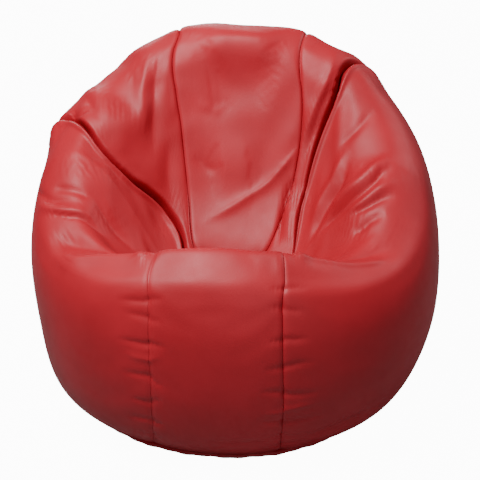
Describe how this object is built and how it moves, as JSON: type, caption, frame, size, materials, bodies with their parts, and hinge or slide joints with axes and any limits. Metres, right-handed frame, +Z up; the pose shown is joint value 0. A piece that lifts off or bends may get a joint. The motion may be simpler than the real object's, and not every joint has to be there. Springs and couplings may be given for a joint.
{
  "type": "bean bag chair",
  "caption": "Round vinyl bean bag chair with a high backrest and a dished seat, sewn from gores and closed by a zip at the base.",
  "frame": {"origin": "on the floor, at the middle of the bag's outline", "axes": "+Z up, +X to the sitter's left as seen from the front, -Y towards the front of the seat"},
  "size_m": [0.8999, 0.8603, 0.7349],
  "materials": {
    "vinyl": "soft semi-gloss vinyl with a fine leather grain",
    "zip_tape": "woven polyester tape",
    "zip_coil": "moulded nylon coil",
    "slider_metal": "tumbled zinc alloy",
    "liner_cloth": "plain non-woven polypropylene",
    "liner_zip_tape": "woven polyester tape",
    "liner_zip_coil": "moulded nylon coil",
    "beads": "expanded polystyrene beads"
  },
  "bodies": {
    "bag": {"front_panel": "vinyl", "back_panel": "vinyl", "left_front_panel": "vinyl", "right_front_panel": "vinyl", "left_back_panel": "vinyl", "right_back_panel": "vinyl", "crown_panel": "vinyl", "base_panel": "vinyl", "cover_zip_upper_tape": "zip_tape", "cover_zip_lower_tape": "zip_tape", "cover_zip_upper_coil": "zip_coil", "cover_zip_lower_coil": "zip_coil", "cover_zip_closed_stop": "slider_metal", "cover_zip_open_stop": "slider_metal", "liner_left_half": "liner_cloth", "liner_right_half": "liner_cloth", "liner_base": "liner_cloth", "liner_zip_upper_tape": "liner_zip_tape", "liner_zip_lower_tape": "liner_zip_tape", "liner_zip_upper_coil": "liner_zip_coil", "liner_zip_lower_coil": "liner_zip_coil", "liner_zip_closed_stop": "slider_metal", "liner_zip_open_stop": "slider_metal", "bead_fill": "beads"},
    "cover_slider": {"cover_zip_slider": "slider_metal"},
    "liner_slider": {"liner_zip_slider": "slider_metal"}
  },
  "joints": [
    {"name": "cover_zip_travel", "type": "hinge", "parent": "bag", "child": "cover_slider", "pos_m": [0, 0.005, 0], "axis": [0, 0, 1], "range_deg": [0, 64]},
    {"name": "liner_zip_travel", "type": "hinge", "parent": "bag", "child": "liner_slider", "pos_m": [0, 0.005, 0], "axis": [0, 0, 1], "range_deg": [0, 58.2]}
  ]
}
